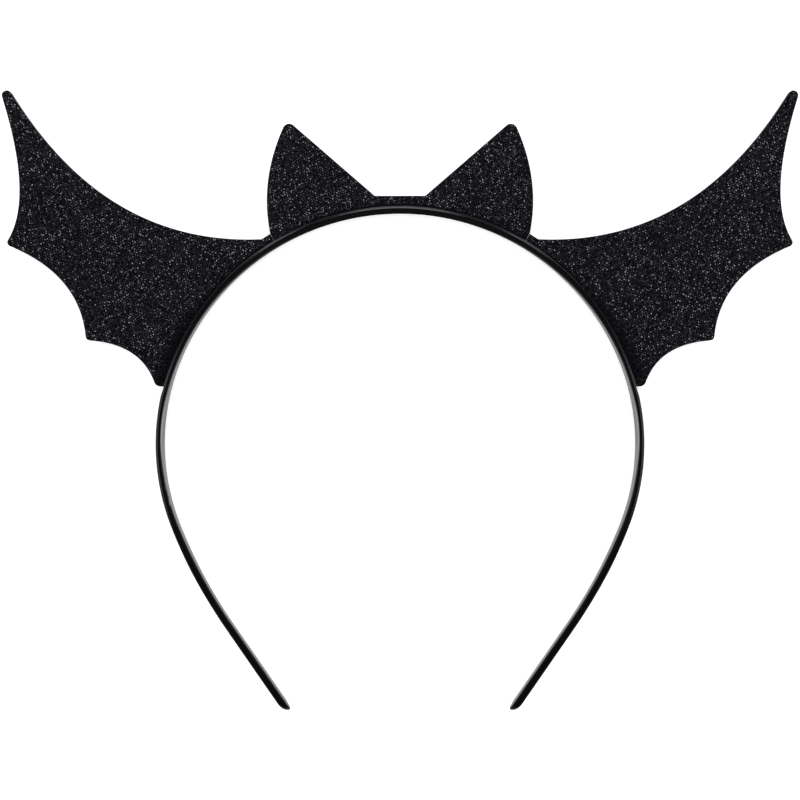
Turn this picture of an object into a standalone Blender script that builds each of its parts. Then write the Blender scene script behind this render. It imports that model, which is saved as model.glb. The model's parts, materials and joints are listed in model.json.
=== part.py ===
"""Bat headband: a glossy plastic Alice band with stiff glitter bat ears and wings.

It lies flat on its back edge, the way it is put down on a table: +Z is the band's depth, +X is the
wearer's side to side and +Y points from the tips to the crown and the ears. Sizes are in metres.

Every piece is drawn from the band's inner face. A place on the band is a distance along that face from
the middle of the crown, and an offset outwards from it, so the panels follow the band when it changes.
"""

import math

import bmesh
import bpy
from mathutils import Vector

# The band's inner face, from the middle of the crown to a tip: three tangent arcs and a straight leg
CROWN_RADIUS = 0.0663
CROWN_TURN = math.radians(68.3)
SIDE_RADIUS = 0.0608
SIDE_TURN = math.radians(43.5)
TEMPLE_RADIUS = 0.139
TEMPLE_TURN = math.radians(12.9)
LEG_LENGTH = 0.0286

# The band's section: its width is its depth when worn, front to back
BAND_WIDTH = 0.008
BAND_THICKNESS = 0.0012
LEG_WIDTH = 0.0055
LEG_THICKNESS = 0.00165
TAPER_LENGTH = 0.060
EDGE_RADIUS = 0.00035
TIP_LENGTH = 0.0033

# The glitter panels, which stand on the band's outer face
PANEL_THICKNESS = 0.002
PANEL_GAP = 0.0003
EARS_BASE = 0.0715
WING_BASE = 0.0507
STRIP_HEIGHT = 0.0026
STRIP_LENGTH = 0.0026

# The ears: the notch between them is cut down to the bridge
BRIDGE_HEIGHT = 0.0032
NOTCH_WIDTH = 0.0140
EAR_HEIGHT = 0.0200
EAR_SPREAD = 0.0615
EAR_TIP_RADIUS = 0.0018
EAR_PULL = (0.152, 0.735)

# The wings, from the lower end of their base: how far out and how far up the upper point reaches
WING_SPAN = 0.0451
WING_RISE = 0.0821
WING_TIP_RADIUS = 0.0014
WING_POINT_RADIUS = 0.0012
WING_LOBE_RADIUS = 0.0018

# Each row is a round point of the wing and the curved edge that leads to it from the point before.
# Columns: name, centre out and up, then the place that pulls the edge, out and up. Out is a share of
# WING_SPAN and up is a share of WING_RISE.
WING_POINTS = (
    ("upper_point", 0.968, 0.983, 0.360, 0.474),
    ("outer_point", 0.938, 0.487, 0.803, 0.637),
    ("lower_point", 0.457, 0.170, 0.520, 0.377),
    ("lobe", 0.018, 0.022, 0.144, 0.143),
)

# How finely round shapes are cut into flats
ARC_STEP = math.radians(2.5)
LEG_STEP = 0.009
EDGE_STEPS = 14
POINT_STEPS = 6
CORNER_STEPS = 2
TIP_STEPS = 6
# What is left of the section at the very end of a tip, so that the end stays a small flat
TIP_END_THICKNESS = 0.24
TIP_END_WIDTH = 0.44

# Linear colour, roughness and metallic value of each material
FINISHES = {
    "black_plastic": ((0.012, 0.012, 0.013), 0.22, 0.0),
    "black_glitter": ((0.014, 0.014, 0.018), 0.55, 0.0),
}

ARCS = ((CROWN_RADIUS, CROWN_TURN), (SIDE_RADIUS, SIDE_TURN), (TEMPLE_RADIUS, TEMPLE_TURN))
LEG_START = sum(radius * turn for radius, turn in ARCS)
BAND_LENGTH = LEG_START + LEG_LENGTH
WIDEST_AT = CROWN_RADIUS * CROWN_TURN + SIDE_RADIUS * (math.pi / 2 - CROWN_TURN)
MID_DEPTH = BAND_WIDTH / 2
SEAM_AT = EARS_BASE / 2
WING_ROOT_AT = SEAM_AT + WING_BASE


def inner_face(distance):
    """Point of the inner face and the outward direction there, for a distance from the crown."""
    point = Vector((0.0, 0.0))
    heading = 0.0
    for radius, turn in ARCS:
        part = min(distance / radius, turn)
        centre = point - radius * Vector((math.sin(heading), math.cos(heading)))
        heading += part
        point = centre + radius * Vector((math.sin(heading), math.cos(heading)))
        distance -= part * radius
        if distance <= 0.0:
            break
    point += max(distance, 0.0) * Vector((math.cos(heading), -math.sin(heading)))
    return point, Vector((math.sin(heading), math.cos(heading)))


def taper(distance):
    """Share of the change from crown to leg, eased in from the widest place of the band."""
    share = min(max((distance - WIDEST_AT) / TAPER_LENGTH, 0.0), 1.0)
    return share * share * (3.0 - 2.0 * share)


def band_thickness(distance):
    """Thickness of the band before its tip is rounded."""
    return BAND_THICKNESS + (LEG_THICKNESS - BAND_THICKNESS) * taper(distance)


def band_width(distance):
    """Width of the band before its tip is rounded."""
    return BAND_WIDTH + (LEG_WIDTH - BAND_WIDTH) * taper(distance)


def beside_band(distance, height):
    """Point at a height above the outer face, at a distance along the band."""
    point, outward = inner_face(distance)
    return point + outward * (band_thickness(distance) + height)


def spaced(start, end, step):
    """Values from start to end, both included, no more than a step apart."""
    count = max(1, math.ceil(abs(end - start) / step - 1e-9))
    return [start + (end - start) * index / count for index in range(count + 1)]


def band_stations():
    """Distances at which the band has a section, closest where it bends and at its tip."""
    stations = [0.0]
    start = 0.0
    for radius, turn in ARCS:
        stations += spaced(start, start + radius * turn, radius * ARC_STEP)[1:]
        start += radius * turn
    tip_start = BAND_LENGTH - TIP_LENGTH
    stations += spaced(start, tip_start, LEG_STEP)[1:]
    for index in range(1, TIP_STEPS + 1):
        stations.append(tip_start + TIP_LENGTH * math.sin(math.pi / 2 * index / TIP_STEPS))
    return stations


def band_section(distance):
    """Corners of a rounded section: a list of (outward offset, depth) around it."""
    into_tip = max(0.0, (distance - (BAND_LENGTH - TIP_LENGTH)) / TIP_LENGTH)
    thickness = band_thickness(distance) * math.sqrt(1.0 - (1.0 - TIP_END_THICKNESS**2) * into_tip**2)
    width = band_width(distance) * math.sqrt(1.0 - (1.0 - TIP_END_WIDTH**2) * into_tip**2)
    radius = min(EDGE_RADIUS, 0.45 * thickness, 0.45 * width)
    corners = (
        (thickness - radius, width / 2 - radius, 0.0),
        (radius, width / 2 - radius, math.pi / 2),
        (radius, radius - width / 2, math.pi),
        (thickness - radius, radius - width / 2, 3 * math.pi / 2),
    )
    section = []
    for offset, depth, start in corners:
        for index in range(CORNER_STEPS + 1):
            angle = start + math.pi / 2 * index / CORNER_STEPS
            section.append((offset + radius * math.cos(angle), depth + radius * math.sin(angle)))
    return section


def tangent_point(centre, radius, place, side):
    """Where the line from a place touches a circle: side is +1 for its left, -1 for its right."""
    towards = place - centre
    along = radius * radius / towards.length_squared
    across = side * radius * math.sqrt(towards.length_squared - radius * radius) / towards.length_squared
    return centre + along * towards + across * Vector((-towards.y, towards.x))


def arc_points(centre, start, end):
    """Points round a circle from start to end, the shorter way."""
    first = start - centre
    sweep = math.atan2(end.y - centre.y, end.x - centre.x) - math.atan2(first.y, first.x)
    sweep = (sweep + math.pi) % (2.0 * math.pi) - math.pi
    points = []
    for index in range(POINT_STEPS + 1):
        angle = sweep * index / POINT_STEPS
        turned = Vector((
            first.x * math.cos(angle) - first.y * math.sin(angle),
            first.x * math.sin(angle) + first.y * math.cos(angle),
        ))
        points.append(centre + turned)
    return points


def pulled_edge(start, pull, end):
    """Points between the ends of an edge that leaves both ends towards the pulling place."""
    points = []
    for index in range(1, EDGE_STEPS):
        share = index / EDGE_STEPS
        points.append((1 - share) ** 2 * start + 2 * share * (1 - share) * pull + share**2 * end)
    return points


def seat_points(start, end):
    """Points just off the band's outer face, from one distance to another."""
    return [beside_band(distance, PANEL_GAP) for distance in spaced(start, end, CROWN_RADIUS * ARC_STEP)]


def mirrored(points):
    """The same outline on the other side of the middle, in the order that keeps it turning one way."""
    return [Vector((-point.x, point.y)) for point in reversed(points)]


def ears_outline():
    """Both ears and the bridge between them, round the right ear and then the left."""
    end_at = SEAM_AT - PANEL_GAP / 2
    bridge_top = BAND_THICKNESS + BRIDGE_HEIGHT
    notch = Vector((NOTCH_WIDTH / 2, bridge_top))
    tip = Vector((EAR_SPREAD / 2, bridge_top + EAR_HEIGHT - EAR_TIP_RADIUS))
    foot = beside_band(end_at, STRIP_HEIGHT)
    pull = foot + EAR_HEIGHT * Vector(EAR_PULL)
    inner = tangent_point(tip, EAR_TIP_RADIUS, notch, -1)
    outer = tangent_point(tip, EAR_TIP_RADIUS, pull, 1)
    half = [notch] + arc_points(tip, inner, outer) + pulled_edge(outer, pull, foot) + [foot]
    half += seat_points(end_at, 0.0)
    return half + mirrored(half[:-1])


def wing_outline():
    """The right wing, from the seam over its points to its lower end and back along the band."""
    start_at = SEAM_AT + PANEL_GAP / 2
    root = beside_band(WING_ROOT_AT, PANEL_GAP)
    outline = [beside_band(start_at + share * STRIP_LENGTH, STRIP_HEIGHT) for share in (0.0, 0.5, 1.0)]
    start = outline[-1]
    radii = {"upper_point": WING_TIP_RADIUS, "lobe": WING_LOBE_RADIUS}
    rounds = []
    for name, out, up, pull_out, pull_up in WING_POINTS:
        centre = root + Vector((out * WING_SPAN, up * WING_RISE))
        pull = root + Vector((pull_out * WING_SPAN, pull_up * WING_RISE))
        rounds.append((centre, radii.get(name, WING_POINT_RADIUS), pull))
    for index, (centre, radius, pull) in enumerate(rounds):
        arrive = tangent_point(centre, radius, pull, -1)
        outline += pulled_edge(start, pull, arrive)
        if index + 1 < len(rounds):
            leave = tangent_point(centre, radius, rounds[index + 1][2], 1)
        else:
            leave = centre - Vector((0.0, radius))
        outline += arc_points(centre, arrive, leave)
        start = leave
    return outline + seat_points(WING_ROOT_AT, start_at)


def finish(name):
    """Material of a name in FINISHES."""
    colour, roughness, metallic = FINISHES[name]
    material = bpy.data.materials.new(name)
    material.use_nodes = True
    shader = material.node_tree.nodes["Principled BSDF"]
    shader.inputs["Base Color"].default_value = (*colour, 1.0)
    shader.inputs["Roughness"].default_value = roughness
    shader.inputs["Metallic"].default_value = metallic
    return material


def make_headband(collection, frame):
    """The band: half of it lofted through its sections, and mirrored."""
    mesh = bpy.data.meshes.new("headband")
    loft = bmesh.new()
    rings = []
    for distance in band_stations():
        point, outward = inner_face(distance)
        ring = []
        for offset, depth in band_section(distance):
            place = point + outward * offset
            ring.append(loft.verts.new((place.x, place.y, MID_DEPTH + depth)))
        rings.append(ring)
    for ring, following in zip(rings, rings[1:]):
        for index, vertex in enumerate(ring):
            before = index - 1
            loft.faces.new((ring[before], vertex, following[index], following[before]))
    loft.faces.new(rings[-1])
    bmesh.ops.recalc_face_normals(loft, faces=loft.faces)
    loft.to_mesh(mesh)
    loft.free()
    mesh.materials.append(finish("black_plastic"))
    mesh.shade_smooth()
    mesh.set_sharp_from_angle(angle=math.radians(40))
    band = bpy.data.objects.new("headband", mesh)
    mirror = band.modifiers.new("other_half", "MIRROR")
    mirror.merge_threshold = 0.00001
    collection.objects.link(band)
    band.parent = frame
    return band


def make_panel(name, outline, material, collection, frame):
    """A flat panel: its outline filled and given its thickness, at the middle of the band's depth."""
    curve = bpy.data.curves.new(name, "CURVE")
    curve.dimensions = "2D"
    curve.fill_mode = "BOTH"
    curve.extrude = PANEL_THICKNESS / 2
    spline = curve.splines.new("POLY")
    spline.points.add(len(outline) - 1)
    for control, place in zip(spline.points, outline):
        control.co = (place.x, place.y, 0.0, 1.0)
    spline.use_cyclic_u = True
    curve.materials.append(material)
    panel = bpy.data.objects.new(name, curve)
    panel.location.z = MID_DEPTH
    panel.parent = frame
    collection.objects.link(panel)
    return panel


def centre_on_origin(parts, frame):
    """Moves the frame so that the origin is below the middle of the whole."""
    bpy.context.view_layer.update()
    heights = []
    for part in parts:
        heights += [(part.matrix_world @ Vector(corner)).y for corner in part.bound_box]
    frame.location.y = -(min(heights) + max(heights)) / 2
    bpy.context.view_layer.update()


def main():
    """Builds the headband in a collection of its own."""
    for old in list(bpy.data.objects):
        bpy.data.objects.remove(old, do_unlink=True)
    collection = bpy.data.collections.new("bat_headband")
    bpy.context.scene.collection.children.link(collection)
    frame = bpy.data.objects.new("frame", None)
    collection.objects.link(frame)
    glitter = finish("black_glitter")
    wing = wing_outline()
    parts = [
        make_headband(collection, frame),
        make_panel("ears", ears_outline(), glitter, collection, frame),
        make_panel("wing_right", wing, glitter, collection, frame),
        make_panel("wing_left", mirrored(wing), glitter, collection, frame),
    ]
    centre_on_origin(parts, frame)


main()
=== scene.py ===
"""Bat headband: a glossy black plastic Alice band that carries bat ears and wings of stiff glitter board.

It lies flat on the back edge of its band. +Y points from the tips to the crown and the ears, +X across,
and +Z through the band's depth towards the viewer. Sizes are in metres.
"""

import json
import logging
import math
from dataclasses import dataclass, field
from enum import Enum

import bpy
import numpy as np
from bpy.types import Material, Node, NodeSocket, Object
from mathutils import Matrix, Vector
from mathutils.geometry import delaunay_2d_cdt

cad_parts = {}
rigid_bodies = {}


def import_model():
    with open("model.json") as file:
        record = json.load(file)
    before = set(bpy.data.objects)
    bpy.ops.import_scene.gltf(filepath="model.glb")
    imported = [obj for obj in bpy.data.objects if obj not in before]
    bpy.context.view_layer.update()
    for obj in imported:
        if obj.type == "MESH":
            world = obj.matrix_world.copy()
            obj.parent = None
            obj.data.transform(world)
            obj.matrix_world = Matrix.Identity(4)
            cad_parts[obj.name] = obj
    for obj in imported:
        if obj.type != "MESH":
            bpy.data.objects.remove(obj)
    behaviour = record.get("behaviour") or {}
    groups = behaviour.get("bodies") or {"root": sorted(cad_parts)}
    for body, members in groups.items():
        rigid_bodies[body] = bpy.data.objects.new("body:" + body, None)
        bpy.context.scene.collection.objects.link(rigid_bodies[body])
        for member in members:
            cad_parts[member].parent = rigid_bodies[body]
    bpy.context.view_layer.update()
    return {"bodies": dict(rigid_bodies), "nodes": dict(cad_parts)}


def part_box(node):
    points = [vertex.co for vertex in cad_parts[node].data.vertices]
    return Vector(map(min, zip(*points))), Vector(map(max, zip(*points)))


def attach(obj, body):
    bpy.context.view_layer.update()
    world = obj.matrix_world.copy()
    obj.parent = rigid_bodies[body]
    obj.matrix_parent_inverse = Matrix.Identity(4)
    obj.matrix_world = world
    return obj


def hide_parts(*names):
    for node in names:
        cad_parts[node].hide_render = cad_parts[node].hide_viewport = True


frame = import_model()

LOG = logging.getLogger("bat_headband")
SEED_STEP = 31
FIRST_SEED = 7
BODY = next(iter(frame["bodies"]))

Array = np.ndarray
Colour = tuple[float, float, float]
Pair = tuple[float, float]


class Side(Enum):
    """Which way a wing points: the sign of its X."""

    LEFT = -1
    RIGHT = 1


class Face(Enum):
    """Which face of a glitter board: the sign of its Z."""

    FRONT = 1
    BACK = -1


# Meshes from arrays


def directions(angles: Array) -> Array:
    """Unit vectors for headings that turn clockwise from +X, as rows of cosine and minus sine."""
    return np.stack([np.cos(angles), -np.sin(angles)], axis=-1)


def outwards(angles: Array) -> Array:
    """Unit vectors to the left of those headings, as rows of sine and cosine."""
    return np.stack([np.sin(angles), np.cos(angles)], axis=-1)


def grid_quads(rows: int, columns: int, closed: bool) -> Array:
    """Corner numbers of the quads between neighbouring rows and columns of a grid of points.

    Args:
        rows: how many rows the grid has.
        columns: how many points each row has.
        closed: whether the last column joins the first.
    Returns:
        One row of four corner numbers per quad.
    """
    across = np.arange(columns if closed else columns - 1)
    row = np.arange(rows - 1)[:, None] * columns
    following = (across + 1) % columns
    corners = [row + across, row + following, row + columns + following, row + columns + across]
    return np.stack(corners, axis=-1).reshape(-1, 4)


def new_piece(name: str, points: Array, faces: list, smooth: bool = True) -> Object:
    """A mesh object at the origin.

    Args:
        name: the piece's name.
        points: one row of x, y and z per vertex.
        faces: corner numbers, as rows of an array or as a list of tuples.
        smooth: whether its faces are shaded smooth.
    Returns:
        The object, linked to the scene.
    """
    mesh = bpy.data.meshes.new(name)
    mesh.from_pydata(points.tolist(), [], faces.tolist() if isinstance(faces, Array) else faces)
    mesh.polygons.foreach_set("use_smooth", np.full(len(mesh.polygons), smooth))
    mesh.update()
    piece = bpy.data.objects.new(name, mesh)
    bpy.context.scene.collection.objects.link(piece)
    return piece


def dress(piece: Object, finishes: list[Material], slots: Array) -> None:
    """Gives a piece its materials.

    Args:
        piece: the piece.
        finishes: its materials.
        slots: the material numbers of its first faces. The rest have the first material.
    """
    numbers = np.zeros(len(piece.data.polygons), np.int32)
    numbers[: len(slots)] = slots
    for finish in finishes:
        piece.data.materials.append(finish)
    piece.data.polygons.foreach_set("material_index", numbers)


def set_values(piece: Object, name: str, values: Array, domain: str) -> None:
    """Stores one number per point or face under a name that a material can read."""
    layer = piece.data.attributes.new(name, "FLOAT", domain)
    layer.data.foreach_set("value", np.asarray(values, np.float32))


def eased(share: Array) -> Array:
    """A share from 0 to 1 with level ends: 3 times its square less twice its cube."""
    share = np.clip(share, 0.0, 1.0)
    return share * share * (3.0 - 2.0 * share)


def bell(value: Array, centre: float, spread: float) -> Array:
    """A bell curve that is 1 at its centre: e to the minus square of the distance over the spread."""
    return np.exp(-(((value - centre) / spread) ** 2))


# Node materials


@dataclass
class NodeSheet:
    """A new material and short ways to add and join its nodes."""

    name: str
    material: Material = field(init=False)

    def __post_init__(self) -> None:
        """Starts the material with its Principled shader."""
        self.material = bpy.data.materials.new(self.name)
        self.material.use_nodes = True
        self.tree = self.material.node_tree
        self.shader = self.tree.nodes["Principled BSDF"]

    def add(self, kind: str, settings: dict | None = None, **inputs: object) -> Node:
        """Adds a node.

        Args:
            kind: the node's type without its ShaderNode prefix.
            settings: properties of the node.
            inputs: values or sockets for its inputs, by name with _ for a space, or by number as i0 or i1.
        Returns:
            The node.
        """
        node = self.tree.nodes.new("ShaderNode" + kind)
        for key, value in (settings or {}).items():
            setattr(node, key, value)
        for key, value in inputs.items():
            numbered = key[0] == "i" and key[1:].isdigit()
            self.feed(node.inputs[int(key[1:]) if numbered else key.replace("_", " ")], value)
        return node

    def feed(self, socket: NodeSocket, value: object) -> None:
        """Joins a socket to an input, or sets the input to a value.

        Args:
            socket: the input.
            value: the socket that feeds it, or its value.
        """
        if isinstance(value, NodeSocket):
            self.tree.links.new(value, socket)
        else:
            socket.default_value = value

    def finish(self, **inputs: object) -> Material:
        """Feeds the shader.

        Args:
            inputs: values or sockets for the shader's inputs, by name with _ for a space.
        Returns:
            The finished material.
        """
        for name, value in inputs.items():
            self.feed(self.shader.inputs[name.replace("_", " ")], value)
        return self.material

    def number(self, operation: str, first: object, second: object) -> NodeSocket:
        """The result of a Math node on two numbers or sockets."""
        return self.add("Math", {"operation": operation}, i0=first, i1=second).outputs[0]

    def vector(self, operation: str, first: object, **others: object) -> NodeSocket:
        """The result of a Vector Math node, whose other inputs are named as in add."""
        return self.add("VectorMath", {"operation": operation}, i0=first, **others).outputs[0]

    def bump(self, height: object, rise: float, strength: float, **others: object) -> NodeSocket:
        """The surface's direction where it rises and falls with a height."""
        return self.add("Bump", Height=height, Distance=rise, Strength=strength, **others).outputs[0]

    def ramp(self, value: NodeSocket, low: float, high: float, start: float, end: float) -> NodeSocket:
        """A value carried evenly from the range low..high to the range start..end, and held at its ends."""
        return self.add("MapRange", i0=value, i1=low, i2=high, i3=start, i4=end).outputs[0]

    def mix(self, share: NodeSocket, first: tuple[float, ...], second: tuple[float, ...]) -> NodeSocket:
        """A colour between two, at a share from 0 to 1."""
        node = self.add("Mix", {"data_type": "RGBA"}, i0=share, i6=(*first, 1.0), i7=(*second, 1.0))
        return node.outputs[2]

    def place(self) -> NodeSocket:
        """The object's own coordinates."""
        return self.add("TexCoord").outputs["Object"]

    def noise(self, size: float, detail: float) -> NodeSocket:
        """Smooth random numbers from 0 to 1 over the piece, in patches of a size in metres."""
        return self.add("TexNoise", Vector=self.place(), Scale=1.0 / size, Detail=detail).outputs[0]

    def value(self, name: str) -> NodeSocket:
        """A number stored on the mesh under a name."""
        return self.add("Attribute", {"attribute_name": name}).outputs["Fac"]


@dataclass(frozen=True)
class GlossPlastic:
    """Black moulded plastic: glossy, very slightly wavy, with fine hairlines."""

    colour: Colour = (0.0018, 0.0018, 0.0019)
    glossiest: float = 0.10
    clouded: float = 0.19
    cloud_size: float = 0.009
    speck: float = 0.10
    wave_size: float = 0.0022
    wave_height: float = 0.00002
    wave_strength: float = 0.5
    hairline_size: float = 0.00035
    hairline_height: float = 0.000004
    hairline_strength: float = 0.6

    def material(self) -> Material:
        """Makes the plastic's material: two sizes of soft waves, and a roughness that clouds and specks.

        Returns:
            The material.
        """
        sheet = NodeSheet("black_plastic")
        cloud = sheet.noise(self.cloud_size, 3.0)
        grain = sheet.noise(self.hairline_size, 2.0)
        wave = sheet.noise(self.wave_size, 1.0)
        base = sheet.ramp(cloud, 0.35, 0.70, self.glossiest, self.clouded)
        specks = sheet.ramp(grain, 0.58, 0.75, 0.0, self.speck)
        soft = sheet.bump(wave, self.wave_height, self.wave_strength)
        return sheet.finish(
            Base_Color=(*self.colour, 1.0),
            IOR=1.5,
            Roughness=sheet.number("ADD", base, specks),
            Normal=sheet.bump(grain, self.hairline_height, self.hairline_strength, Normal=soft),
        )


@dataclass(frozen=True)
class InnerPlastic:
    """The same plastic where it faces the head: hair wears its gloss off at the crown and the front edge."""

    colour: Colour = (0.0062, 0.0062, 0.0066)
    toning: float = 0.3
    matt: float = 0.80
    matt_change: float = 0.05
    coat_roughness: float = 0.27
    thinnest_coat: float = 0.82
    grain_size: float = 0.00035
    grain_height: float = 0.000006
    grain_strength: float = 0.6

    def material(self) -> Material:
        """Makes the inner plastic's material: a matt base under a coat.

        The coat follows the attribute gloss, from 0 for worn off to 1 for whole.

        Returns:
            The material.
        """
        sheet = NodeSheet("black_plastic_inside")
        grain = sheet.noise(self.grain_size, 2.0)
        dark, light = (
            tuple(part * share for part in self.colour) for share in (1.0 - self.toning, 1.0 + self.toning)
        )
        matt = sheet.ramp(grain, 0.3, 0.7, self.matt - self.matt_change, self.matt + self.matt_change)
        patch = sheet.ramp(grain, 0.25, 0.75, self.thinnest_coat, 1.0)
        return sheet.finish(
            Base_Color=sheet.mix(grain, dark, light),
            Roughness=matt,
            Specular_IOR_Level=0.0,
            Coat_Weight=sheet.number("MULTIPLY", sheet.value("gloss"), patch),
            Coat_Roughness=self.coat_roughness,
            Coat_IOR=1.5,
            Normal=sheet.bump(grain, self.grain_height, self.grain_strength),
        )


@dataclass(frozen=True)
class GlitterCoat:
    """The coat between the larger flakes: black lacquer full of fine flakes, each turned its own way."""

    colour: Colour = (0.0007, 0.0006, 0.0019)
    painted_glint: Colour = (0.014, 0.014, 0.016)
    dull_share: float = 0.80
    flake: float = 0.00020
    turn: float = 0.55
    smoothest: float = 0.22
    roughest: float = 0.55
    specular: float = 0.07

    def material(self) -> Material:
        """Makes the coat's material: cells the size of a fine flake, each with its own tilt, tone and gloss;
        the lightest cells are painted glints, dimmed in the painted shade beside the band.

        Returns:
            The material.
        """
        sheet = NodeSheet("glitter_coat")
        cells = sheet.add("TexVoronoi", Vector=sheet.place(), Scale=1.0 / self.flake).outputs["Color"]
        tone = sheet.add("SeparateColor", Color=cells)
        # Painted glints: the lightest cells get a lighter base colour
        bright = sheet.ramp(tone.outputs[0], self.dull_share, 1.0, 0.0, 1.0)
        # Dims the painted glints in the painted shade beside the band
        bright = sheet.number("MULTIPLY", bright, sheet.value("coverage"))
        centred = sheet.vector("SUBTRACT", cells, i1=(0.5, 0.5, 0.5))
        facing = sheet.add("NewGeometry").outputs["Normal"]
        tilted = sheet.vector("ADD", facing, i1=sheet.vector("SCALE", centred, Scale=self.turn))
        return sheet.finish(
            Base_Color=sheet.mix(bright, self.colour, self.painted_glint),
            Roughness=sheet.ramp(tone.outputs[1], 0.0, 1.0, self.smoothest, self.roughest),
            Specular_IOR_Level=self.specular,
            Normal=sheet.vector("NORMALIZE", tilted),
        )


@dataclass(frozen=True)
class CutEdge:
    """The board's cut edge: plain black, dull and very slightly rough."""

    colour: Colour = (0.0022, 0.0022, 0.0025)
    smoothest: float = 0.52
    roughest: float = 0.77
    grain_size: float = 0.00025
    grain_height: float = 0.00004
    grain_strength: float = 0.5

    def material(self) -> Material:
        """Makes the cut edge's material: fine dull grain.

        Returns:
            The material.
        """
        sheet = NodeSheet("cut_edge")
        grain = sheet.noise(self.grain_size, 2.0)
        return sheet.finish(
            Base_Color=(*self.colour, 1.0),
            Roughness=sheet.ramp(grain, 0.3, 0.7, self.smoothest, self.roughest),
            Normal=sheet.bump(grain, self.grain_height, self.grain_strength),
        )


@dataclass(frozen=True)
class GlitterFlakes:
    """Loose flakes in the coat: black mirror film, most of them dark, a few painted light as glints, and
    others that catch the light by their tilt.
    """

    # Where a flake's tone stands, from 0 to 1, and the grey it has there: dark tones that differ at random,
    # and at the top painted glints much lighter than the black film
    tones: tuple[Pair, ...] = (
        (0.0, 0.0002),
        (0.34, 0.0013),
        (0.71, 0.0054),
        (0.89, 0.0140),
        (0.96, 0.058),
        (1.0, 0.27),
    )
    blue_gain: float = 1.08
    blue_floor: float = 0.0014
    hue_change: Colour = (0.12, 0.08, 0.14)
    hue_least: Colour = (0.94, 0.96, 0.93)
    scatter: float = 977.0
    smoothest: float = 0.08
    roughest: float = 0.26
    specular: float = 0.40

    def material(self) -> Material:
        """Makes the flakes' material, which reads a number from 0 to 1 for each flake: its tone, and at the
        top of the range a painted glint.

        Returns:
            The material.
        """
        sheet = NodeSheet("glitter_flakes")
        tone = sheet.value("tone")
        ramp = sheet.add("ValToRGB", Fac=tone)
        for index, (at, grey) in enumerate(self.tones):
            elements = ramp.color_ramp.elements
            stop = elements[index] if index < 2 else elements.new(at)
            stop.position = at
            stop.color = (grey, grey, self.blue_gain * grey + self.blue_floor, 1.0)
        scattered = sheet.number("MULTIPLY", tone, self.scatter)
        chance = sheet.add("TexWhiteNoise", {"noise_dimensions": "1D"}, W=scattered)
        hue = sheet.vector("MULTIPLY_ADD", chance.outputs[1], i1=self.hue_change, i2=self.hue_least)
        return sheet.finish(
            Base_Color=sheet.vector("MULTIPLY", ramp.outputs[0], i1=hue),
            Roughness=sheet.ramp(chance.outputs[0], 0.0, 1.0, self.smoothest, self.roughest),
            Specular_IOR_Level=self.specular,
        )


# The band


@dataclass(frozen=True)
class Wear:
    """Where hair has worn the gloss off the inner face: shares of the depth, and distances along the band."""

    crown: float = 0.90
    crown_loss: float = 0.76
    crown_run: float = 0.090
    leg_gain: float = 0.12
    leg_start: float = 0.100
    leg_run: float = 0.050
    glossy_at: float = 0.098
    glossy_spread: float = 0.009
    glossy_gain: float = 0.36
    edge: float = 0.42
    scuff_at: float = 0.62
    scuff_spread: float = 0.15
    scuff: float = 0.55

    def gloss(self, distance: Array, deep: Array) -> Array:
        """How much of the gloss is left, from 0 to 1.

        The worn part reaches from the front edge to a share of the depth: nearly all of it at the crown, less
        and less down the side, and a little more again on the legs. A bell curve takes it off at the widest
        place, where a scuffed line runs.

        Args:
            distance: distances along the band.
            deep: shares of the depth, from 0 at the front to 1 at the back, with a row per distance.
        Returns:
            One number per point.
        """
        worn = self.crown - self.crown_loss * eased(distance / self.crown_run)
        worn += self.leg_gain * eased((distance - self.leg_start) / self.leg_run)
        glossy = bell(distance, self.glossy_at, self.glossy_spread)
        worn -= self.glossy_gain * glossy
        scuffed = self.scuff * bell(deep, self.scuff_at, self.scuff_spread) * glossy[:, None]
        return eased((deep - worn[:, None]) / self.edge) * (1.0 - scuffed)


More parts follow.
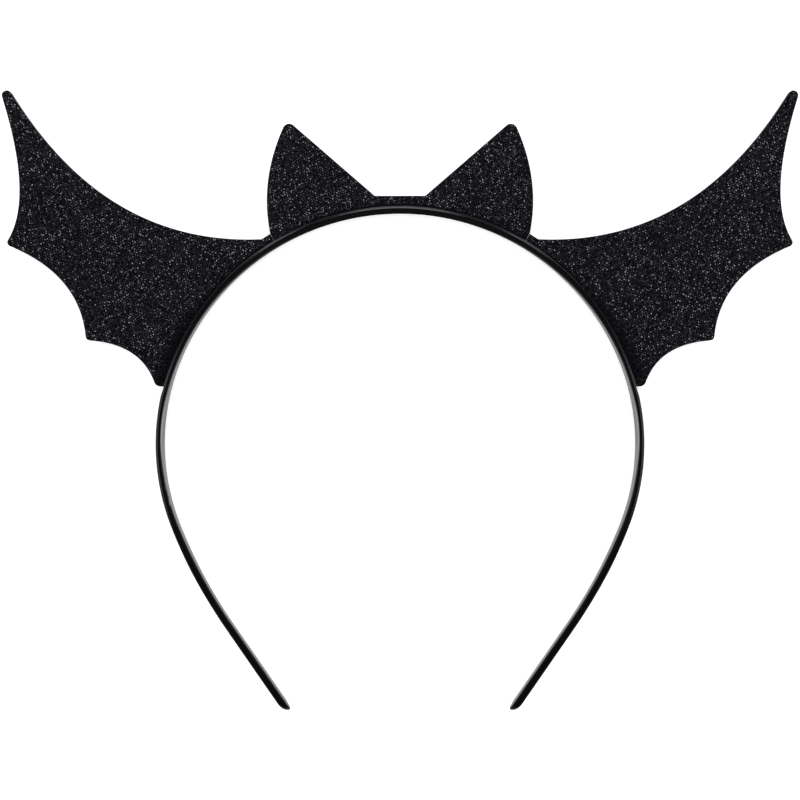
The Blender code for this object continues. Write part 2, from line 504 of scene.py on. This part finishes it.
@dataclass
class AliceBand:
    """The plastic band: three tangent arcs and a straight leg on each side, tapering to rounded tips."""

    arcs: tuple[Pair, ...] = (
        (0.0663, math.radians(68.3)),
        (0.0608, math.radians(43.5)),
        (0.139, math.radians(12.9)),
    )
    leg: float = 0.0286
    width: float = 0.008
    thickness: float = 0.0012
    leg_width: float = 0.0055
    leg_thickness: float = 0.00165
    taper_length: float = 0.060
    swell: float = 0.00020
    swell_start: float = 0.0866
    swell_run: float = 0.003
    swell_loss: float = 0.7
    loss_start: float = 0.134
    loss_run: float = 0.018
    tip_length: float = 0.0033
    tip_thickness: float = 0.24
    tip_width: float = 0.44
    bevel: float = 0.00085
    bevel_depth: float = 0.00045
    bevel_power: float = 1.5
    bevel_steps: int = 10
    inner_radius: float = 0.00014
    inner_steps: int = 5
    inner_face_depth: float = 0.0004
    # The most of the thickness, the width and the thickness that the bevel, its depth and the radius take
    most: tuple[float, float, float] = (0.60, 0.30, 0.25)
    # Where a flat wall has points, as shares of its width
    wall_places: tuple[float, ...] = (0.02, 0.08, 0.25, 0.5, 0.75, 0.92, 0.98)
    step: float = 0.0009
    tip_steps: int = 18
    wear: Wear = Wear()
    # Small moulding marks on the left inner face: distance along the band, depth, height and radius
    marks: tuple[tuple[float, float, float, float], ...] = (
        (0.1128, 0.0012, 0.00011, 0.0006),
        (0.1146, 0.0024, 0.00012, 0.0005),
        (0.1163, 0.0005, 0.00009, 0.0005),
        (0.1185, 0.0018, 0.00010, 0.0006),
    )
    mark_shine: float = 0.7

    def __post_init__(self) -> None:
        """Works out the band's length, its widest place, and where the crown stands in the frame."""
        self.leg_start = sum(radius * turn for radius, turn in self.arcs)
        self.length = self.leg_start + self.leg
        (crown, crown_turn), (side, _), _ = self.arcs
        self.widest = crown * crown_turn + side * (math.pi / 2 - crown_turn)
        self.middle = self.width / 2
        self.crown_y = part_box("headband")[1].y - self.thickness

    def inner_face(self, distance: Array) -> tuple[Array, Array]:
        """Places on the inner face, and the outward directions there.

        The face starts level at the crown's middle. Each arc turns its heading clockwise by distance over
        radius, about the centre one radius inwards, and the leg goes straight on.

        Args:
            distance: distances along the face from the crown's middle.
        Returns:
            Rows of x and y for the places, and the same for the directions.
        """
        left = np.asarray(distance, float).copy()
        heading = np.zeros_like(left)
        point = np.zeros((len(left), 2))
        for radius, turn in self.arcs:
            part = np.clip(left / radius, 0.0, turn)
            centre = point - radius * outwards(heading)
            heading = heading + part
            point = centre + radius * outwards(heading)
            left = left - part * radius
        point += np.maximum(left, 0.0)[:, None] * directions(heading)
        point[:, 1] += self.crown_y
        return point, outwards(heading)

    def taper(self, distance: Array) -> Array:
        """Share of the change from crown to leg, eased in from the widest place."""
        return eased((distance - self.widest) / self.taper_length)

    def thickness_at(self, distance: Array) -> Array:
        """Thickness before the tip is rounded."""
        return self.thickness + (self.leg_thickness - self.thickness) * self.taper(distance)

    def swell_at(self, distance: Array) -> Array:
        """Extra thickness on the outer face: eased in below the wings, and mostly out again down the legs."""
        full = self.swell * eased((distance - self.swell_start) / self.swell_run)
        return full * (1.0 - self.swell_loss * eased((distance - self.loss_start) / self.loss_run))

    def beside(self, distance: Array, height: float) -> Array:
        """Places at a height above the outer face, as rows of x and y."""
        point, outward = self.inner_face(distance)
        return point + outward * (self.thickness_at(distance) + height)[:, None]

    def spot(self, distance: float, height: float) -> Array:
        """One such place."""
        return self.beside(np.array([distance]), height)[0]

    def section(self, distance: Array) -> tuple[Array, Array, Array]:
        """Outward offset and depth of each point round the section, for each distance.

        The outer corners are superellipses, wide across the edge and shallow in depth: offset goes as sine
        and depth as cosine to the power two over bevel_power. The inner corners are plain quarter circles.
        Into the tip, thickness and width shrink as the root of one less the square of the share.

        Args:
            distance: distances along the band.
        Returns:
            Two arrays with a row per distance and a column per point of the section, and for each column
            whether the wall from it to the next faces the head.
        """
        share = np.clip((distance - (self.length - self.tip_length)) / self.tip_length, 0.0, 1.0)
        thick = self.thickness_at(distance) + self.swell_at(distance)
        thick *= np.sqrt(1.0 - (1.0 - self.tip_thickness**2) * share**2)
        wide = self.width + (self.leg_width - self.width) * self.taper(distance)
        wide *= np.sqrt(1.0 - (1.0 - self.tip_width**2) * share**2)
        across = np.minimum(self.bevel, self.most[0] * thick)[:, None]
        down = np.minimum(self.bevel_depth, self.most[1] * wide)[:, None]
        round_in = np.minimum(self.inner_radius, self.most[2] * thick)[:, None]
        half, thick = wide[:, None] / 2, thick[:, None]
        turn = np.linspace(0.0, math.pi / 2, self.bevel_steps + 1)[None, :]
        bent = np.sin(turn) ** (2.0 / self.bevel_power), np.cos(turn) ** (2.0 / self.bevel_power)
        quarter = np.linspace(0.0, math.pi / 2, self.inner_steps + 1)[None, :]
        run = 1.0 - 2.0 * np.array(self.wall_places)[None, :]
        bevel_x, bevel_z = thick - across + across * bent[0], half - down + down * bent[1]
        inner_x = round_in * (1.0 - np.sin(quarter))
        inner_z = half - round_in + round_in * np.cos(quarter)
        outer_x, outer_z = np.repeat(thick, run.shape[1], 1), (half - down) * run
        face_x, face_z = np.zeros_like(outer_x), (round_in - half) * run
        offset = [bevel_x, outer_x, bevel_x[:, ::-1], inner_x, face_x, inner_x[:, ::-1]]
        depth = [bevel_z, outer_z, -bevel_z[:, ::-1], -inner_z, face_z, inner_z[:, ::-1]]
        counts = [sum(part.shape[1] for part in offset[k : k + 3]) for k in (0, 3)]
        facing_head = np.repeat([False, True], counts)
        facing_head[-1] = False
        return np.concatenate(offset, 1), np.concatenate(depth, 1), facing_head

    def build(self, finishes: list[Material]) -> Object:
        """The band: its section carried along its inner face from tip to tip, with both ends closed.

        Args:
            finishes: the plastic's material, and that of the face next to the head.
        Returns:
            The finished piece.
        """
        tip_start = self.length - self.tip_length
        run = np.linspace(0.0, tip_start, math.ceil(tip_start / self.step) + 1)
        tip = tip_start + self.tip_length * np.sin(np.linspace(0.0, math.pi / 2, self.tip_steps + 1)[1:])
        half = np.concatenate([run, tip])
        distance = np.concatenate([half[::-1], half[1:]])
        sign = np.concatenate([np.full(len(half), -1.0), np.full(len(half) - 1, 1.0)])
        point, outward = self.inner_face(distance)
        offset, depth, facing_head = self.section(distance)
        inner = np.clip(1.0 - offset / self.inner_face_depth, 0.0, 1.0)
        shine = np.zeros_like(offset)
        for at, height, rise, radius in self.marks:
            spread = ((distance - at) / radius)[:, None] ** 2 + ((depth - height) / radius) ** 2
            mark = np.exp(-spread) * inner * (sign < 0)[:, None]
            offset, shine = offset + rise * mark, shine + self.mark_shine * mark
        x = sign[:, None] * (point[:, :1] + outward[:, :1] * offset)
        y = point[:, 1:] + outward[:, 1:] * offset
        rows, columns = offset.shape
        points = np.stack([x, y, self.middle + depth], axis=-1).reshape(-1, 3)
        faces = grid_quads(rows, columns, True)[:, ::-1].tolist()
        faces += [tuple(range(columns)), tuple(range((rows - 1) * columns, rows * columns))[::-1]]
        piece = new_piece("alice_band", points, faces)
        deep = 0.5 - 0.5 * depth / depth.max(1, keepdims=True)
        gloss = np.clip(self.wear.gloss(distance, deep) + shine, 0.0, 1.0)
        set_values(piece, "gloss", gloss.ravel(), "POINT")
        dress(piece, finishes, np.tile(facing_head, rows - 1))
        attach(piece, BODY)
        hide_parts("headband")
        return piece


# Outlines

SHORTEST_EDGE = 0.00002
SHARPEST_TURN = 0.8


def touching(centre: Array, radius: float, place: Array, side: int) -> Array:
    """Where the line from a place touches a circle.

    Along the line to the place it lies the radius squared over the distance from the centre, and across it
    the radius times the root of distance squared less radius squared, over the distance.

    Args:
        centre: the circle's centre.
        radius: the circle's radius.
        place: the place, outside the circle.
        side: +1 for the touching point on the left of the line from centre to place, -1 for its right.
    Returns:
        The point.
    """
    towards = place - centre
    square = towards @ towards
    across = side * radius * math.sqrt(square - radius * radius) / square
    return centre + radius * radius / square * towards + across * np.array([-towards[1], towards[0]])


def round_point(centre: Array, start: Array, end: Array, steps: int) -> Array:
    """Points round a circle, the shorter way, an even angle apart.

    Args:
        centre: the circle's centre.
        start: the first point.
        end: the last point.
        steps: how many steps lie between them.
    Returns:
        Rows of x and y.
    """
    first, last = start - centre, end - centre
    sweep = math.atan2(last[1], last[0]) - math.atan2(first[1], first[0])
    sweep = (sweep + math.pi) % (2.0 * math.pi) - math.pi
    angle = sweep * np.linspace(0.0, 1.0, steps + 1)[:, None]
    turned = np.array([-first[1], first[0]])
    return centre + first * np.cos(angle) + turned * np.sin(angle)


def pulled_edge(start: Array, pull: Array, end: Array, steps: int) -> Array:
    """Points between the ends of an edge that leaves both ends towards a pulling place: a quadratic curve."""
    share = np.linspace(0.0, 1.0, steps + 1)[1:-1, None]
    return (1.0 - share) ** 2 * start + 2.0 * share * (1.0 - share) * pull + share**2 * end


def mirrored(points: Array) -> Array:
    """The same outline on the other side of the middle, in the order that keeps it turning one way."""
    return points[::-1] * np.array([-1.0, 1.0])


def without_doubles(outline: Array) -> Array:
    """A closed outline without points that lie on the one before."""
    return outline[np.linalg.norm(outline - np.roll(outline, 1, 0), axis=1) > SHORTEST_EDGE]


def drawn_in(outline: Array, amount: float) -> Array:
    """A closed clockwise outline moved inwards.

    Each point moves along the bisector of its two edges, by the amount over the cosine of half the turn.

    Args:
        outline: the outline, as rows of x and y.
        amount: how far its edges move.
    Returns:
        The new outline, with as many points.
    """
    before = outline - np.roll(outline, 1, 0)
    after = np.roll(outline, -1, 0) - outline
    before /= np.linalg.norm(before, axis=1, keepdims=True)
    after /= np.linalg.norm(after, axis=1, keepdims=True)
    bisector = np.stack([before[:, 1] + after[:, 1], -before[:, 0] - after[:, 0]], axis=1)
    square = np.maximum((bisector**2).sum(1, keepdims=True), SHARPEST_TURN)
    return outline + 2.0 * amount * bisector / square


def distance_to(outline: Array, places: Array) -> tuple[Array, Array]:
    """How far places lie from a closed outline, and whether they lie inside it.

    The distance is the least over its edges, each from the nearest place on the edge. A place is inside where
    a ray along +X crosses the outline an odd number of times.

    Args:
        outline: the closed outline, as rows of x and y.
        places: the places, as rows of x and y.
    Returns:
        The distances, and an array of true and false.
    """
    start, end = outline, np.roll(outline, -1, 0)
    least = np.full(len(places), 1.0)
    inside = np.zeros(len(places), bool)
    for first, last in zip(start, end):
        edge = last - first
        share = np.clip(((places - first) @ edge) / (edge @ edge), 0.0, 1.0)
        least = np.minimum(least, np.linalg.norm(places - first - share[:, None] * edge, axis=1))
        level = (first[1] > places[:, 1]) != (last[1] > places[:, 1])
        with np.errstate(divide="ignore", invalid="ignore"):
            crossing = first[0] + (places[:, 1] - first[1]) * edge[0] / edge[1]
        inside ^= level & (places[:, 0] < crossing)
    return least, inside


# The glitter boards


@dataclass(frozen=True)
class FlakePattern:
    """How the loose flakes lie: spacings and sizes in metres, tilts in radians, and shares of all flakes."""

    spacing: float = 0.00028
    row_share: float = 0.866
    shake: float = 0.42
    margin: float = 0.00030
    # The share of flakes kept in the painted shade beside the band
    least_kept: float = 0.50
    loose_share: float = 0.28
    tilt: float = 0.06
    loose_tilt: float = 0.34
    least_tilt: float = 0.01
    most_tilt: float = 0.6
    even_share: float = 0.80
    tone_steps: int = 7
    # The share of its tone that a flake keeps in the painted shade beside the band
    least_tone: float = 0.80
    radius: float = 0.00015
    sizes: Pair = (0.75, 1.15)
    # How much larger the flakes painted as glints are
    bright_sizes: Pair = (0.88, 0.34)
    lift: Pair = (0.000015, 0.000060)
    corners: int = 6


@dataclass
class GlitterBoard:
    """A flat board with a glitter coat on both faces and a plain cut edge."""

    band: AliceBand
    thickness: float = 0.0020
    seat_gap: float = 0.00004
    seam_gap: float = 0.00005
    ears_base: float = 0.0715
    wing_base: float = 0.0507
    strip_height: float = 0.0026
    strip_length: float = 0.0026
    strip_steps: int = 6
    root_gap: float = 0.0003
    edge_radius: float = 0.00022
    rim_steps: int = 4
    coat_step: float = 0.0016
    clear_share: float = 0.45
    # The least that the coat's painted glints keep in the painted shade beside the band
    least_clear_of_band_shade: float = 0.35
    # Painted shade beside the band, which stands in front of the board: full over a narrow strip, then fading
    # out over a width that grows low on a wing
    shade_core: float = 0.0003
    fade: float = 0.0010
    fade_gain: float = 0.0034
    fade_start: float = 0.050
    fade_run: float = 0.030
    stations: int = 260
    waviness: float = 0.00006
    pattern: FlakePattern = FlakePattern()
    edge_steps: int = 44
    point_steps: int = 14

    def __post_init__(self) -> None:
        """Works out where the seams and the wings' lower ends lie along the band."""
        self.seam_at = self.ears_base / 2
        self.wing_root_at = self.seam_at + self.wing_base

    def seat(self, start: float, end: float) -> Array:
        """Points just off the band's outer face, from one distance to another."""
        count = max(2, math.ceil(abs(end - start) / self.band.step))
        return self.band.beside(np.linspace(start, end, count + 1), self.seat_gap)

    def wave(self, places: Array) -> Array:
        """How far the board bows forwards: a chequer of waves 16 and 20 mm long, and two slanting waves.

        Args:
            places: places on the board, whose last axis is x and y.
        Returns:
            One length per place.
        """
        x, y = places[..., 0], places[..., 1]
        chequer = np.sin(x * 390.0 + 0.7) * np.cos(y * 310.0 - 0.4)
        slanting = 0.6 * np.sin(x * 170.0 - y * 240.0), 0.4 * np.cos(x * 620.0 + y * 540.0)
        return self.waviness * (chequer + slanting[0] + slanting[1])

    def edge(self, outline: Array) -> tuple[Array, Array]:
        """The rounded edge: a profile of quarter circle, wall and quarter circle, carried round the outline.

        Args:
            outline: the closed clockwise outline.
        Returns:
            The points, one ring after another from the front face to the back, and the corner numbers of
            the faces.
        """
        quarter = np.linspace(0.0, math.pi / 2, self.rim_steps + 1)
        drawn = 1.0 - np.sin(quarter)
        inset = self.edge_radius * np.concatenate([drawn, [0.0], drawn[::-1]])
        corner = self.thickness / 2 - self.edge_radius + self.edge_radius * np.cos(quarter)
        height = np.concatenate([corner, [0.0], -corner[::-1]])
        rings = np.stack([drawn_in(outline, amount) for amount in inset])
        bow = self.wave(rings) * (inset / self.edge_radius)[:, None]
        depth = self.band.middle + height[:, None] + bow
        points = np.concatenate([rings, depth[..., None]], axis=-1).reshape(-1, 3)
        return points, grid_quads(len(inset), len(outline), True)

    def coat(self, rim: Array) -> tuple[Array, Array]:
        """The coated face: triangles between its rim and a square grid of points inside it.

        Args:
            rim: the face's closed outline, as rows of x and y.
        Returns:
            The places, as rows of x and y, and the corner numbers of the triangles, which face the front.
        """
        low, high = rim.min(0), rim.max(0)
        across, up = np.meshgrid(*(np.arange(low[k], high[k], self.coat_step) for k in (0, 1)))
        inner = np.stack([across.ravel(), up.ravel()], axis=1)
        far, inside = distance_to(rim, inner)
        inner = inner[inside & (far > self.clear_share * self.coat_step)]
        flat = [Vector(place) for place in np.concatenate([rim, inner])]
        loop = [(k, (k + 1) % len(rim)) for k in range(len(rim))]
        places, _, triangles, *_ = delaunay_2d_cdt(flat, loop, [], 1, 1e-7)
        places = np.array([tuple(place) for place in places])
        triangles = np.array(triangles)
        a, b, c = (places[triangles[:, k]] for k in range(3))
        turn = (b[:, 0] - a[:, 0]) * (c[:, 1] - a[:, 1]) - (b[:, 1] - a[:, 1]) * (c[:, 0] - a[:, 0])
        triangles[turn < 0] = triangles[turn < 0][:, ::-1]
        return places, triangles

    def board(self, name: str, outline: Array, finishes: list[Material]) -> Object:
        """The board itself: its rounded edge and its two coated faces, welded together.

        Args:
            name: the piece's name.
            outline: the closed clockwise outline.
            finishes: the coat, and the cut edge.
        Returns:
            The piece.
        """
        edge_points, edge_faces = self.edge(outline)
        places, triangles = self.coat(edge_points[: len(outline), :2])
        bow = self.wave(places)
        half = self.thickness / 2
        front = np.column_stack([places, self.band.middle + half + bow])
        back = np.column_stack([places, self.band.middle - half + bow])
        first = len(edge_points)
        points = np.concatenate([edge_points, front, back])
        faces = edge_faces.tolist() + (triangles + first).tolist()
        faces += (triangles[:, ::-1] + first + len(front)).tolist()
        piece = new_piece(name, points, faces)
        dress(piece, finishes, np.ones(len(edge_faces)))
        weld = piece.modifiers.new("joined_edge", "WELD")
        weld.merge_threshold = 0.000002
        # The coat's share of painted glint, dimmed in the painted shade beside the band
        unshaded = np.ones(len(points))
        unshaded[first:] = np.tile(self.least_clear_of_band_shade + (1.0 - self.least_clear_of_band_shade) * self.coverage(places), 2)
        set_values(piece, "coverage", unshaded, "POINT")
        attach(piece, BODY)
        return piece

    def nearest(self, places: Array) -> tuple[Array, Array]:
        """Finds the nearest of many stations on the band's outer face.

        Args:
            places: places on the board, as rows of x and y.
        Returns:
            The station's distance along the band, and how far off it each place is.
        """
        stations = np.linspace(0.0, self.wing_root_at, self.stations)
        seat = self.band.beside(stations, 0.0)
        flat = np.abs(places[:, 0])[:, None] - seat[None, :, 0], places[:, 1][:, None] - seat[None, :, 1]
        gap = flat[0] ** 2 + flat[1] ** 2
        best = gap.argmin(1)
        return stations[best], np.sqrt(gap[np.arange(len(places)), best])

    def coverage(self, places: Array) -> Array:
        """Finds how far places lie clear of the painted shade beside the band, where the band stands in front
        of the board.

        Args:
            places: places on the board, as rows of x and y.
        Returns:
            One number per place, from 0 in the painted shade beside the band to 1 clear of it.
        """
        station, off_band = self.nearest(places)
        width = self.fade + self.fade_gain * eased((station - self.fade_start) / self.fade_run)
        return eased((off_band - self.shade_core) / width)

    def flakes(
        self, name: str, outline: Array, face: Face, finish: Material, seed: int
    ) -> Object:
        """Hexagonal flakes over one face, all in one mesh.

        They lie on a staggered grid, each shaken from its place. Most take their tone, whose top is painted
        glint, from steps that repeat over the grid, so that no two painted glints are neighbours, and the
        brightest are made larger. A flake's corners stand at its radius round its place and rise with its
        tilt, so that it is a flat mirror.

        Args:
            name: the piece's name.
            outline: the board's outline.
            face: which face they lie on.
            finish: the flakes' material.
            seed: the seed of their places and tilts.
        Returns:
            The piece.
        """
        chance = np.random.default_rng(seed)
        pattern = self.pattern
        gap, row_gap = pattern.spacing, pattern.spacing * pattern.row_share
        low, high = outline.min(0), outline.max(0)
        columns = int((high[0] - low[0]) / gap) + 2
        rows = int((high[1] - low[1]) / row_gap) + 2
        column, row = np.meshgrid(np.arange(columns), np.arange(rows))
        grid = [low[0] + gap * (column + 0.5 * (row % 2)), low[1] + row_gap * row]
        place = np.stack(grid, axis=-1).reshape(-1, 2)
        place += chance.uniform(-pattern.shake, pattern.shake, place.shape) * gap
        step = ((column - row // 2 + 3 * row) % pattern.tone_steps).ravel()
        far, inside = distance_to(outline, place)
        # Painted shade beside the band: fewer flakes are kept there
        full = self.coverage(place)
        kept = inside & (far > pattern.margin)
        share = pattern.least_kept + (1.0 - pattern.least_kept) * full
        kept &= chance.random(len(place)) < share
        place, full, step = place[kept], full[kept], step[kept]
        count = len(place)
        loose = chance.random(count) < pattern.loose_share
        tilt = np.abs(chance.normal(0.0, np.where(loose, pattern.loose_tilt, pattern.tilt)))
        slope = np.tan(np.minimum(tilt + pattern.least_tilt, pattern.most_tilt))[:, None]
        way = chance.uniform(0.0, 2.0 * math.pi, count)
        slope = slope * np.stack([np.cos(way), np.sin(way)], axis=1)
        tone = chance.random(count)
        even = chance.random(count) < pattern.even_share
        tone = np.where(even, (step + tone) / pattern.tone_steps, tone)
        size = pattern.radius * chance.uniform(*pattern.sizes, count)
        size = size * (pattern.bright_sizes[0] + pattern.bright_sizes[1] * tone * tone)
        wedge = 2.0 * math.pi / pattern.corners
        angle = chance.uniform(0.0, wedge, count)[:, None] + np.arange(pattern.corners)[None, :] * wedge
        corner = size[:, None, None] * np.stack([np.cos(angle), np.sin(angle)], axis=-1)
        rise = -(corner * slope[:, None, :]).sum(-1) + chance.uniform(*pattern.lift, count)[:, None]
        flat = place[:, None, :] + corner
        bow = self.wave(place)[:, None]
        depth = self.band.middle + bow + face.value * (self.thickness / 2 + rise)
        points = np.concatenate([flat, depth[..., None]], axis=-1).reshape(-1, 3)
        faces = np.arange(count * pattern.corners).reshape(-1, pattern.corners)
        piece = new_piece(name, points, faces if face is Face.FRONT else faces[:, ::-1], smooth=False)
        # Tones dim in the painted shade beside the band
        tone = tone * (pattern.least_tone + (1.0 - pattern.least_tone) * full)
        set_values(piece, "tone", tone, "FACE")
        piece.data.materials.append(finish)
        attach(piece, BODY)
        return piece


@dataclass
class Ears(GlitterBoard):
    """Both bat ears, joined by the low bridge over the crown."""

    bridge_height: float = 0.0032
    notch_width: float = 0.0140
    ear_height: float = 0.0200
    ear_spread: float = 0.0615
    tip_radius: float = 0.0018
    pull: Pair = (0.152, 0.735)

    def outline(self) -> Array:
        """The outline clockwise: the right half from notch to crown, then the left.

        Returns:
            Rows of x and y.
        """
        end_at = self.seam_at - self.seam_gap / 2
        crown = self.band.crown_y
        top = crown + self.band.thickness + self.bridge_height
        notch = np.array([self.notch_width / 2, top])
        tip = np.array([self.ear_spread / 2, top + self.ear_height - self.tip_radius])
        foot = self.band.spot(end_at, self.strip_height)
        pull = foot + self.ear_height * np.array(self.pull)
        inner = touching(tip, self.tip_radius, notch, -1)
        outer = touching(tip, self.tip_radius, pull, 1)
        half = np.concatenate([
            [notch],
            round_point(tip, inner, outer, self.point_steps),
            pulled_edge(outer, pull, foot, self.edge_steps),
            [foot],
            self.seat(end_at, 0.0),
        ])
        return without_doubles(np.concatenate([half, mirrored(half[:-1])]))


@dataclass
class Wing(GlitterBoard):
    """A bat wing with two scallops, and the thin strip that runs up to the ears."""

    side: Side = Side.RIGHT
    span: float = 0.0451
    rise: float = 0.0821
    # Round points: radius, centre out and up, then the place that pulls the edge before it, out and up,
    # as shares of the span and the rise
    points: tuple[tuple[float, float, float, float, float], ...] = (
        (0.0014, 0.968, 0.983, 0.360, 0.474),
        (0.0012, 0.938, 0.487, 0.803, 0.637),
        (0.0012, 0.457, 0.170, 0.520, 0.377),
        (0.0018, 0.024, 0.022, 0.146, 0.143),
    )

    def outline(self) -> Array:
        """The outline clockwise on the right, and mirrored on the left: seam, points, lower end and seat.

        Returns:
            Rows of x and y.
        """
        start_at = self.seam_at + self.seam_gap / 2
        root = self.band.spot(self.wing_root_at, self.root_gap)
        strip = np.linspace(0.0, self.strip_length, self.strip_steps + 1)
        parts = [self.band.beside(start_at + strip, self.strip_height)]
        start = parts[0][-1]
        size = np.array([self.span, self.rise])
        rows = [
            (radius, root + size * (out, up), root + size * (pull_out, pull_up))
            for radius, out, up, pull_out, pull_up in self.points
        ]
        for index, (radius, centre, pull) in enumerate(rows):
            arrive = touching(centre, radius, pull, -1)
            parts.append(pulled_edge(start, pull, arrive, self.edge_steps))
            last = index + 1 == len(rows)
            leave = centre - (0.0, radius) if last else touching(centre, radius, rows[index + 1][2], 1)
            parts.append(round_point(centre, arrive, leave, self.point_steps))
            start = leave
        parts.append(self.seat(self.wing_root_at, start_at))
        outline = without_doubles(np.concatenate(parts))
        return outline if self.side is Side.RIGHT else mirrored(outline)


# Camera, floor and light


@dataclass(frozen=True)
class PhotoCamera:
    """A camera straight above the middle, 400 mm over the band's front edge."""

    height: float = 0.400
    centre: Pair = (0.0, 0.00002)
    pixel: float = 0.000275
    pixels: int = 800
    sensor: float = 36.0

    def build(self, front: float) -> None:
        """Makes the camera, whose lens shows a chosen length in each pixel at the band's front edge.

        Args:
            front: how high the band's front edge is.
        """
        data = bpy.data.cameras.new("photo_camera")
        data.sensor_width = self.sensor
        data.lens = self.sensor * self.height / (self.pixels * self.pixel)
        camera = bpy.data.objects.new("photo_camera", data)
        camera.location = (*self.centre, front + self.height)
        bpy.context.scene.collection.objects.link(camera)
        bpy.context.scene.camera = camera


@dataclass(frozen=True)
class Softbox:
    """A square soft light that points at the headband."""

    name: str
    place: tuple[float, float, float]
    size: Pair
    brightness: float
    mirrored_in_gloss: bool = True

    def build(self) -> None:
        """Makes the light: its power is brightness times pi times its area."""
        data = bpy.data.lights.new(self.name, "AREA")
        data.shape = "RECTANGLE"
        data.size, data.size_y = self.size
        data.energy = self.brightness * math.pi * self.size[0] * self.size[1]
        light = bpy.data.objects.new(self.name, data)
        light.location = self.place
        light.rotation_mode = "QUATERNION"
        light.rotation_quaternion = (-Vector(self.place)).to_track_quat("-Z", "Y")
        light.visible_glossy = self.mirrored_in_gloss
        bpy.context.scene.collection.objects.link(light)


@dataclass(frozen=True)
class Studio:
    """A plain white floor under a wide soft light, with soft lights beyond the ears and at the sides."""

    floor_size: float = 12.0
    floor_drop: float = 0.0001
    floor_points: int = 9
    floor_colour: Colour = (0.86, 0.86, 0.86)
    glow: float = 0.43
    horizon: float = 0.42
    ceiling: float = 0.03
    # How high the surround's horizon ends and its ceiling starts, as the height of a unit sight line
    fade: Pair = (0.12, 0.5)
    softboxes: tuple[Softbox, ...] = (
        Softbox("overhead_light", (0.0, 0.0, 2.2), (3.0, 3.0), 2.5, mirrored_in_gloss=False),
        Softbox("top_light", (0.0, 1.05, 0.85), (0.50, 0.9), 2.7),
        Softbox("top_left_light", (-0.62, 0.98, 0.85), (0.22, 0.8), 2.2),
        Softbox("top_right_light", (0.62, 0.98, 0.85), (0.22, 0.8), 2.2),
        Softbox("left_light", (-1.15, 0.0, 0.80), (0.9, 0.9), 0.9),
        Softbox("right_light", (1.15, 0.0, 0.80), (0.9, 0.9), 0.9),
    )

    def build(self) -> None:
        """Makes the floor, the lights and the plain surround."""
        line = np.linspace(-self.floor_size / 2, self.floor_size / 2, self.floor_points)
        x, y = np.meshgrid(line, line)
        points = np.stack([x, y, np.full_like(x, -self.floor_drop)], axis=-1).reshape(-1, 3)
        floor = new_piece("floor", points, grid_quads(self.floor_points, self.floor_points, False))
        white = NodeSheet("white_floor").finish(
            Base_Color=(*self.floor_colour, 1.0),
            Roughness=0.9,
            Emission_Color=(1.0, 1.0, 1.0, 1.0),
            Emission_Strength=self.glow,
        )
        floor.data.materials.append(white)
        for softbox in self.softboxes:
            softbox.build()
        world = bpy.data.worlds.new("surround")
        world.use_nodes = True
        nodes, links = world.node_tree.nodes, world.node_tree.links
        split = nodes.new("ShaderNodeSeparateXYZ")
        height = nodes.new("ShaderNodeMapRange")
        for index, value in enumerate((*self.fade, self.horizon, self.ceiling)):
            height.inputs[index + 1].default_value = value
        links.new(nodes.new("ShaderNodeTexCoord").outputs["Generated"], split.inputs[0])
        links.new(split.outputs["Z"], height.inputs[0])
        links.new(height.outputs[0], nodes["Background"].inputs["Strength"])
        nodes["Background"].inputs["Color"].default_value = (1.0, 1.0, 1.0, 1.0)
        bpy.context.scene.world = world
        bpy.context.scene.view_settings.view_transform = "Standard"


# The whole


def clear_starting_objects() -> None:
    """Removes whatever the scene held before the frame was loaded."""
    kept = set(frame["nodes"].values()) | set(frame["bodies"].values())
    for thing in [thing for thing in bpy.data.objects if thing not in kept]:
        bpy.data.objects.remove(thing, do_unlink=True)


def report(piece: Object) -> None:
    """Logs a piece's name and how many triangles it has: its faces' corners less two for each face."""
    LOG.info("%s: %d triangles", piece.name, len(piece.data.loops) - 2 * len(piece.data.polygons))


def main() -> None:
    """Builds the camera and the stage, then the band, the ears and the wings."""
    logging.basicConfig(level=logging.INFO, format="%(name)s: %(message)s")
    clear_starting_objects()
    band = AliceBand()
    PhotoCamera().build(band.width)
    Studio().build()
    report(band.build([GlossPlastic().material(), InnerPlastic().material()]))
    coat, cut, flakes = GlitterCoat().material(), CutEdge().material(), GlitterFlakes().material()
    boards = {
        "ears": Ears(band),
        "wing_left": Wing(band, side=Side.LEFT),
        "wing_right": Wing(band, side=Side.RIGHT),
    }
    for number, (name, board) in enumerate(boards.items()):
        outline = board.outline()
        piece = board.board(f"{name}_board", outline, [coat, cut])
        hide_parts(name)
        report(piece)
        for face in Face:
            title = f"{name}_glitter_{face.name.lower()}"
            report(board.flakes(title, outline, face, flakes, SEED_STEP * number + face.value + FIRST_SEED))


if __name__ == "__main__":
    main()
